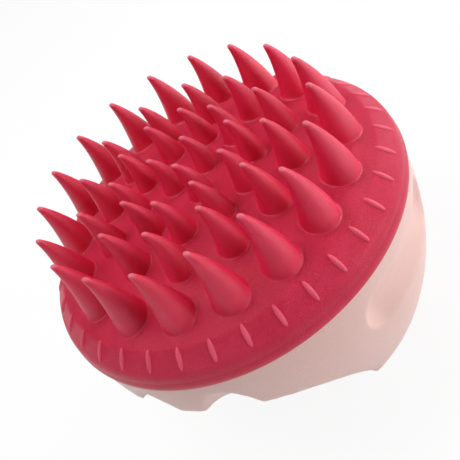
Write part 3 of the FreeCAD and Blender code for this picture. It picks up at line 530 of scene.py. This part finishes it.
def lathe(name, profile, steps, rounds=()):
    """Draws a profile (distance from the axis, height), rounds some of its corners and spins it about Z."""
    start_fresh()
    points = [Vector((x, 0, z)) for x, z in profile]
    bpy.ops.mesh.primitive_plane_add(size=MM, location=points[0])
    edit()
    bpy.ops.mesh.merge(type="CENTER")
    for before, after in zip(points, points[1:]):
        bpy.ops.mesh.extrude_region_move(TRANSFORM_OT_translate={"value": after - before})
    leave_edit()
    piece = settle()
    piece.name = name
    for corner, radius in rounds:
        round_corner(piece, Vector((corner[0], 0, corner[1])), radius)
    edit()
    bpy.ops.mesh.spin(steps=steps, angle=FULL_TURN, center=(0, 0, 0), axis=(0, 0, 1))
    bpy.ops.mesh.select_all(action="SELECT")
    bpy.ops.mesh.remove_doubles(threshold=0.01 * MM)
    return close_up()


def round_corner(piece, spot, radius):
    edit()
    bpy.ops.mesh.select_all(action="DESELECT")
    leave_edit()
    nearest = min(piece.data.vertices, key=lambda vertex: (vertex.co - spot).length)
    nearest.select = True
    bpy.ops.object.mode_set(mode="EDIT")
    bpy.ops.mesh.bevel(offset=radius, segments=5, affect="VERTICES")
    leave_edit()


def apply_modifier(piece, kind, **settings):
    take(piece)
    modifier = piece.modifiers.new(kind.lower(), kind)
    for name, setting in settings.items():
        setattr(modifier, name, setting)
    bpy.ops.object.modifier_apply(modifier=modifier.name)


def carve(piece, *tools, operation="DIFFERENCE"):
    """Cuts tools out of a piece, or joins them to it; the tools go."""
    for tool in tools:
        apply_modifier(piece, "BOOLEAN", object=tool, operation=operation, solver="EXACT")
        bpy.data.objects.remove(tool)
    return piece


def rod(radius, spot, depth, direction=(0, 0, 1)):
    """A round rod from spot along a direction."""
    start_fresh()
    way = Vector(direction).normalized()
    turn = way.to_track_quat("Z", "Y").to_euler()
    bpy.ops.mesh.primitive_cylinder_add(
        vertices=64, radius=radius, depth=depth, location=Vector(spot) + way * depth / 2, rotation=turn)
    return settle()


def join(pieces, name):
    take(pieces[0])
    for piece in pieces:
        piece.select_set(True)
    bpy.ops.object.join()
    joined = settle()
    joined.name = name
    return joined


def copies_round(model, places):
    """Copies of a model, each with its own mesh, at places given as a matrix; the model goes."""
    made = []
    for place in places:
        piece = model.copy()
        piece.data = model.data.copy()
        piece.matrix_world = place
        bpy.context.scene.collection.objects.link(piece)
        made.append(piece)
    bpy.data.objects.remove(model)
    return made


def finish_piece(piece, material, body, smooth_angle):
    """Smooth shading, material and body of a finished piece."""
    take(piece)
    bpy.ops.object.shade_smooth_by_angle(angle=smooth_angle)
    piece.data.materials.clear()
    piece.data.materials.append(material)
    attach(piece, body)


# The domed field of the pad

def field_arc(pad):
    """Radius of the dome."""
    return (pad.band_top ** 2 + pad.crown ** 2) / (2 * pad.crown)


def field_bulge(pad):
    """How far its section bulges past the chord from the band to the top."""
    half = math.hypot(pad.band_top, pad.crown) / 2
    return field_arc(pad) - math.sqrt(field_arc(pad) ** 2 - half ** 2)


def field_height(pad, radius):
    top = RIM_HEIGHT + pad.band_top_rise + pad.crown
    return top - field_arc(pad) + math.sqrt(field_arc(pad) ** 2 - radius ** 2)


class BRUSH_OT_pad(bpy.types.Operator):
    """Model the soft disc of the bristle head"""

    bl_idname = "brush.pad"
    bl_label = "Pad"

    def execute(self, context):
        pad = context.scene.brush_pad
        rim = RIM_HEIGHT
        inner_foot = (pad.inner, rim + pad.gap)
        foot = (pad.edge, rim + pad.gap)
        widest = (pad.widest, rim + pad.widest_rise)
        seam = (pad.seam, rim + pad.seam_rise)
        shoulder = (pad.shoulder, rim + pad.shoulder_rise)
        band_foot = (pad.band_low, rim + pad.band_low_rise)
        band_top = (pad.band_top, rim + pad.band_top_rise)
        top = (0, rim + pad.band_top_rise + pad.crown)
        profile = [(0, rim + pad.ceiling), (pad.inner, rim + pad.ceiling), inner_foot, foot]
        profile += arc(foot, widest, pad.under_bulge, count=4)
        profile += arc(widest, seam, pad.over_bulge, count=4)
        profile += arc(seam, shoulder, pad.wall_bulge, count=4)
        profile += arc(shoulder, band_foot, pad.shoulder_bulge, count=8)
        profile += [band_top]
        profile += arc(band_top, top, field_bulge(pad), count=40)
        rounds = (
            (foot, pad.edge_round), (seam, pad.seam_round),
            (band_foot, pad.band_low_round), (band_top, pad.band_top_round))
        disc = lathe("soft_pad", profile, steps=180, rounds=rounds)
        finishes = context.scene.brush_finishes
        # The field colour is partly painted light that makes up for the shade among the bristles
        frost = frosted("frosted_silicone", finishes.field, finishes.pad_deep)
        finish_piece(disc, frost, "head", math.radians(40))
        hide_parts("bristle_pad")
        return {"FINISHED"}


class BRUSH_OT_bristles(bpy.types.Operator):
    """Model one claw for each ring of bristles and set its copies round the field"""

    bl_idname = "brush.bristles"
    bl_label = "Bristles"

    def execute(self, context):
        pad = context.scene.brush_pad
        sizes = context.scene.brush_bristles
        finishes = context.scene.brush_finishes
        satin = silicone("satin_silicone", finishes.pad, finishes.pad_deep)
        for name, count, ring_radius, root, first, rise in BRISTLE_RINGS:
            field = field_height(pad, ring_radius * MM)
            claw = self.claw(sizes, field, RIM_HEIGHT + rise * MM - field, root * MM)
            places = []
            for number in range(count):
                spot = outward(math.radians(first) + FULL_TURN * number / count) * ring_radius * MM
                places.append(Matrix.Translation(spot))
            bristles = join(copies_round(claw, places), name + "_bristles")
            self.seat(bristles, sizes)
            apply_modifier(bristles, "SUBSURF", levels=1, render_levels=1)
            finish_piece(bristles, satin, "head", math.pi)
        return {"FINISHED"}

    def claw(self, sizes, field, height, root):
        """Extrudes a round root upwards, step by step, along a leaning, bowed line."""
        start_fresh()
        radius = root + sizes.foot
        at = Vector((0, 0, field - sizes.sink))
        bpy.ops.mesh.primitive_circle_add(
            vertices=BRISTLE_SIDES, radius=radius, fill_type="NGON", location=at)
        piece = settle()
        edit()
        for number, (level, factor, extra) in enumerate(self.stations(sizes, height)):
            along = level / height
            swell = 4 * along * (1 - along)
            shift = sizes.bow * swell - sizes.lean * along - sizes.hook * along ** HOOK_POWER
            centre = Vector((shift, 0, field + level))
            wanted = (root + (sizes.tip - root) * along + sizes.belly * swell) * factor + extra
            bpy.ops.mesh.extrude_region_move(TRANSFORM_OT_translate={"value": centre - at})
            scale = wanted / radius
            bpy.ops.transform.resize(value=(scale, scale, 1), center_override=centre)
            if piece.vertex_groups:
                bpy.ops.object.vertex_group_remove_from(use_all_groups=True)
            if number < FOOT_STEPS:
                piece.vertex_groups.new(name="foot_{}".format(number))
                bpy.ops.object.vertex_group_assign()
            at = centre
            radius = wanted
        return close_up()

    def stations(self, sizes, height):
        """Heights on a claw from fillet to tip, each with a factor and an addition to its radius."""
        for step in range(FOOT_STEPS):
            part = step / FOOT_STEPS
            yield sizes.foot * part, 1, sizes.foot * (1 - math.sqrt(1 - (1 - part) ** 2))
        low = sizes.sink
        shoulder = height - sizes.tip * TIP_START
        for step in range(FLANK_STEPS + 1):
            yield low + (shoulder - low) * step / FLANK_STEPS, 1, 0
        for degrees in TIP_ANGLES:
            bend = math.radians(degrees)
            yield shoulder + (height - shoulder) * math.sin(bend), math.cos(bend), 0

    def seat(self, bristles, sizes):
        """Lays the steps of the fillets on the field, each at its height over it."""
        for step in range(FOOT_STEPS):
            apply_modifier(
                bristles, "SHRINKWRAP", target=bpy.data.objects["soft_pad"], wrap_method="PROJECT",
                wrap_mode="ABOVE_SURFACE", use_project_z=True, use_negative_direction=True,
                vertex_group="foot_{}".format(step), offset=sizes.foot * step / FOOT_STEPS - FOOT_OVERLAP)
        bristles.vertex_groups.clear()


class BRUSH_OT_ribs(bpy.types.Operator):
    """Model one lens-shaped rib and set its copies round the band"""

    bl_idname = "brush.ribs"
    bl_label = "Ribs"

    def execute(self, context):
        pad = context.scene.brush_pad
        start_fresh()
        bpy.ops.mesh.primitive_uv_sphere_add(segments=20, ring_count=14, radius=1)
        bpy.ops.transform.resize(value=(pad.rib_width, pad.rib_height, pad.rib_length))
        rib = settle()
        foot = Vector((pad.band_low, 0, RIM_HEIGHT + pad.band_low_rise))
        top = Vector((pad.band_top, 0, RIM_HEIGHT + pad.band_top_rise))
        along = (top - foot).normalized()
        across = Vector((0, 1, 0))
        out = across.cross(along)
        lie = Matrix((across, out, along)).transposed().to_4x4()
        places = []
        for number in range(pad.ribs):
            turn = Matrix.Rotation(FULL_TURN * number / pad.ribs, 4, "Z")
            places.append(turn @ Matrix.Translation((foot + top) / 2 - out * pad.rib_sink) @ lie)
        ribs = join(copies_round(rib, places), "rim_ribs")
        finishes = context.scene.brush_finishes
        # The ribs' paler tone is partly painted light
        smooth = silicone("rib_silicone", finishes.rib, finishes.field)
        finish_piece(ribs, smooth, "head", math.pi)
        return {"FINISHED"}


class BRUSH_OT_shell(bpy.types.Operator):
    """Model the shell: turn the dome, hollow its finger side, soften the edges and cut the inside"""

    bl_idname = "brush.shell"
    bl_label = "Shell"

    def execute(self, context):
        sizes = context.scene.brush_shell
        dome = self.dome(sizes)
        carve(dome, self.scoop(sizes, 0))
        carve(dome, *self.flutes(sizes))
        carve(dome, *self.thumbs(sizes))
        apply_modifier(dome, "REMESH", mode="VOXEL", voxel_size=sizes.voxel)
        apply_modifier(dome, "SMOOTH", factor=0.5, iterations=8)
        self.trim(dome, RIM_HEIGHT, (0, 0, 1))
        self.trim(dome, 0.0, (0, 0, -1))
        carve(dome, self.room(sizes), self.dish(sizes))
        hole = rod(sizes.button_hole, (sizes.button_place, 0, -CUT_SPARE), sizes.wall + 2 * CUT_SPARE)
        carve(dome, hole, self.seal_groove(sizes))
        self.posts(dome, sizes)
        dome.name = "blush_shell"
        finishes = context.scene.brush_finishes
        blush = grained_plastic("blush_plastic", finishes.shell, finishes.shell_warm)
        finish_piece(dome, blush, "body", math.radians(35))
        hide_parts("body_shell")
        return {"FINISHED"}

    def dome(self, sizes):
        """The turned outside, with spare height over the rim and under the back for the softening."""
        back = (sizes.base, 0)
        heel = (sizes.heel, sizes.heel_height)
        rim = (sizes.rim, RIM_HEIGHT)
        profile = [(0, -DOME_SPARE), (sizes.base, -DOME_SPARE), back]
        profile += arc(back, heel, sizes.heel_bulge, count=10)
        profile += arc(heel, rim, sizes.dome_bulge, count=24)
        profile += [(sizes.rim, RIM_HEIGHT + DOME_SPARE), (0, RIM_HEIGHT + DOME_SPARE)]
        return lathe("dome", profile, steps=160)

    def scoop(self, sizes, wall):
        """Cutter for the hollow under the fingers, thicker by a wall where the wall is to stay."""
        start_fresh()
        bpy.ops.mesh.primitive_torus_add(
            major_radius=sizes.scoop_sweep, minor_radius=sizes.scoop_arc + wall,
            major_segments=220, minor_segments=96, location=(sizes.scoop_centre, 0, -sizes.scoop_drop))
        return settle()

    def flutes(self, sizes):
        """Cutters for the finger flutes: rods that slope up and out through the wall."""
        tilt = sizes.flute_tilt
        axis_radius = sizes.rim + sizes.flute * math.sin(tilt)
        axis_drop = sizes.flute_top + sizes.flute * math.cos(tilt)
        start_radius = sizes.rim - FLUTE_INSET
        start_drop = axis_drop + (axis_radius - start_radius) * math.tan(tilt)
        for step in range(FLUTES):
            way = math.pi + sizes.flute_pitch * (step - (FLUTES - 1) / 2)
            spot = outward(way) * start_radius + Vector((0, 0, RIM_HEIGHT - start_drop))
            yield rod(sizes.flute, spot, FLUTE_REACH, outward(way, tilt))

    def thumbs(self, sizes):
        """Cutters for the two recesses: a bent rod with round ends on each side."""
        middle = Vector((0, 0, RIM_HEIGHT - sizes.thumb_drop))
        for sign in (-1, 1):
            first = sign * sizes.thumb_from
            last = first + sign * sizes.thumb_span
            start_fresh()
            bpy.ops.mesh.primitive_circle_add(
                vertices=48, radius=sizes.thumb, fill_type="NGON", rotation=(math.pi / 2, 0, first),
                location=middle + outward(first) * sizes.thumb_reach)
            edit()
            bpy.ops.mesh.spin(steps=24, angle=-sign * sizes.thumb_span, center=middle, axis=(0, 0, 1))
            close_up()
            yield settle()
            for way in (first, last):
                start_fresh()
                bpy.ops.mesh.primitive_uv_sphere_add(
                    segments=64, ring_count=32, radius=sizes.thumb,
                    location=middle + outward(way) * sizes.thumb_reach)
                yield settle()

    def trim(self, piece, height, normal):
        """Cuts the piece at a level and closes it there, with a threshold that keeps the level exact."""
        take(piece)
        edit()
        bpy.ops.mesh.bisect(
            plane_co=(0, 0, height), plane_no=normal, use_fill=True, clear_outer=True, threshold=1e-7)
        leave_edit()

    def room(self, sizes):
        """The room inside with the socket over it, kept a wall away from the scoop."""
        floor = RIM_HEIGHT - sizes.socket_depth
        top = RIM_HEIGHT + CUT_SPARE
        low = (sizes.cavity - sizes.cavity_corner, sizes.wall)
        side = (sizes.cavity, sizes.wall + sizes.cavity_corner)
        quarter = sizes.cavity_corner * (1 - math.sqrt(0.5))
        profile = [(0, sizes.wall), low]
        profile += arc(low, side, quarter, count=8)
        profile += [(sizes.cavity, floor), (sizes.socket, floor), (sizes.socket, top), (0, top)]
        return carve(lathe("room", profile, steps=128), self.scoop(sizes, sizes.wall))

    def seal_groove(self, sizes):
        low = RIM_HEIGHT - sizes.seal_depth
        top = RIM_HEIGHT + CUT_SPARE
        inner = sizes.seal - sizes.seal_half
        outer = sizes.seal + sizes.seal_half
        profile = [(inner, low), (outer, low), (outer, top), (inner, top), (inner, low)]
        return lathe("seal_groove", profile, steps=128)

    def dish(self, sizes):
        """Cutter for the dish: a cone as far under the back as it is deep."""
        flare = sizes.dish - sizes.dish_floor
        start_fresh()
        bpy.ops.mesh.primitive_cone_add(
            vertices=96, radius1=sizes.dish + flare, radius2=sizes.dish_floor, depth=2 * sizes.dish_depth,
            location=(sizes.button_place, 0, 0))
        return settle()

    def posts(self, dome, sizes):
        """Joins the screw posts to the shell and bores them from the top."""
        for x, y, foot, top in POSTS:
            for side in (-y, y):
                post = rod(sizes.post, (x * MM, side * MM, foot * MM), (top - foot) * MM)
                carve(dome, post, operation="UNION")
                low = (x * MM, side * MM, top * MM - POST_HOLE_DEPTH)
                carve(dome, rod(sizes.post_hole, low, POST_HOLE_DEPTH + CUT_SPARE))


class BRUSH_OT_fittings(bpy.types.Operator):
    """Give the button and the fittings inside the shell their finishes"""

    bl_idname = "brush.fittings"
    bl_label = "Fittings"

    def execute(self, context):
        tones = context.scene.brush_finishes
        finishes = {
            "pad_silicone": bpy.data.materials["satin_silicone"],
            "body_plastic": bpy.data.materials["blush_plastic"],
            "carrier_plastic": grained_plastic("carrier_plastic", tones.carrier, tones.pad_deep, 0.1),
            "inner_plastic": grained_plastic("inner_plastic", tones.inner, tones.shell, 0.1),
            "seal_rubber": soft_rubber("seal_rubber", tones.rubber),
            "button_plastic": grained_plastic("button_plastic", tones.button, tones.pad, 0.08, 0.38),
            "board_laminate": lacquered_board("board_lacquer", tones.laminate),
            "switch_plastic": grained_plastic("switch_plastic", tones.black, tones.rubber, 0.1, 0.45),
            "spring_steel": plated_metal("contact_plating", tones.steel, (1, 1, 0.1)),
            "screw_steel": plated_metal("screw_plating", tones.steel, (1, 1, 0.3), 0.35),
            "cell_sleeve": printed_sleeve("cell_sleeve", tones.sleeve),
            "motor_steel": plated_metal("motor_plating", tones.steel, (1, 0.1, 1)),
            "weight_brass": plated_metal("weight_brass", tones.brass, (1, 0.1, 1), 0.32),
            "lead_sleeve": grained_plastic("lead_insulation", tones.lead, tones.pad_deep, 0.05, 0.4),
        }
        for row in frame["record"]["subparts"]:
            materials = frame["nodes"][row["node"]].data.materials
            materials.clear()
            materials.append(finishes[row["material_slot"]])
        return {"FINISHED"}


class BRUSH_OT_stage(bpy.types.Operator):
    """Set the floor, the soft lamps and the camera"""

    bl_idname = "brush.stage"
    bl_label = "Stage"

    def execute(self, context):
        stage = context.scene.brush_stage
        context.scene.view_settings.view_transform = "Standard"
        self.floor(stage)
        self.sky(context.scene, stage)
        middle = Vector((0, 0, RIM_HEIGHT))
        for name, azimuth, elevation, width in LAMPS:
            out = outward(math.radians(azimuth), math.radians(elevation))
            spot = middle + out * stage.lamp_distance
            self.lamp(name + "_lamp", spot, middle, width, getattr(stage, name))
        self.camera(context.scene, stage, middle)
        return {"FINISHED"}

    def floor(self, stage):
        start_fresh()
        bpy.ops.mesh.primitive_plane_add(size=FLOOR_WIDTH)
        floor = bpy.context.object
        floor.name = "pale_floor"
        finish = Finish("pale_floor")
        grain = finish.noise(30)
        finish.set(Base_Color=finish.mix(grain * 0.05, stage.floor, (1, 1, 1)), Roughness=0.9, IOR=1.2)
        glow = finish.node("ShaderNodeEmission", {}, {"Color": (1, 1, 1, 1), "Strength": 1.0})
        seen = finish.node("ShaderNodeLightPath", {}, {}, "Is Camera Ray")
        shiny = finish.node("ShaderNodeLightPath", {}, {}, "Is Glossy Ray")
        lit = Value(finish, finish.shader.outputs["BSDF"])
        look = finish.node("ShaderNodeMixShader", {}, {0: (seen + shiny) * stage.glow, 1: lit, 2: glow})
        finish.feed(finish.tree.nodes["Material Output"].inputs["Surface"], look)
        floor.data.materials.append(finish.material)

    def sky(self, scene, stage):
        scene.world = bpy.data.worlds.new("even_sky")
        scene.world.use_nodes = True
        background = scene.world.node_tree.nodes["Background"]
        background.inputs["Color"].default_value = (1, 1, 1, 1)
        background.inputs["Strength"].default_value = stage.sky

    def lamp(self, name, spot, target, width, power):
        start_fresh()
        turn = (target - spot).to_track_quat("-Z", "Y").to_euler()
        bpy.ops.object.light_add(type="AREA", location=spot, rotation=turn)
        lamp = bpy.context.object
        lamp.name = name
        lamp.data.shape = "DISK"
        lamp.data.size = width
        lamp.data.energy = power

    def camera(self, scene, stage, target):
        """A camera at azimuth zero stands before the brush, a quarter turn back from the X axis."""
        back = outward(stage.azimuth - math.pi / 2, stage.elevation)
        bpy.ops.object.camera_add(location=target + back * stage.distance)
        camera = bpy.context.object
        camera.name = "photo_camera"
        camera.rotation_mode = "QUATERNION"
        upright = (-back).to_track_quat("-Z", "Y").to_matrix()
        camera.rotation_quaternion = (upright @ Matrix.Rotation(-stage.roll, 3, "Z")).to_quaternion()
        camera.data.sensor_width = SENSOR_WIDTH
        camera.data.lens = stage.lens
        camera.data.shift_x = stage.shift_x
        camera.data.shift_y = stage.shift_y
        camera.data.clip_start = NEAR_CLIP
        scene.camera = camera


class BRUSH_PT_panel(bpy.types.Panel):
    """Lists the steps of the brush in the sidebar"""

    bl_idname = "BRUSH_PT_panel"
    bl_label = "Scalp Brush"
    bl_space_type = "VIEW_3D"
    bl_region_type = "UI"
    bl_category = "Brush"

    def draw(self, context):
        for operator in OPERATORS:
            self.layout.operator(operator.bl_idname)


GROUPS = {
    "brush_pad": BrushPadSizes,
    "brush_bristles": BrushBristleSizes,
    "brush_shell": BrushShellSizes,
    "brush_finishes": BrushFinishes,
    "brush_stage": BrushStage,
}
OPERATORS = (
    BRUSH_OT_pad, BRUSH_OT_bristles, BRUSH_OT_ribs, BRUSH_OT_shell, BRUSH_OT_fittings, BRUSH_OT_stage)
CLASSES = (*GROUPS.values(), *OPERATORS, BRUSH_PT_panel)


def register():
    for item in CLASSES:
        bpy.utils.register_class(item)
    for name, group in GROUPS.items():
        setattr(bpy.types.Scene, name, bpy.props.PointerProperty(type=group))


def unregister():
    for name in GROUPS:
        delattr(bpy.types.Scene, name)
    for item in reversed(CLASSES):
        bpy.utils.unregister_class(item)


def main():
    register()
    bpy.ops.brush.pad()
    bpy.ops.brush.bristles()
    bpy.ops.brush.ribs()
    bpy.ops.brush.shell()
    bpy.ops.brush.fittings()
    bpy.ops.brush.stage()


if __name__ == "__main__":
    main()
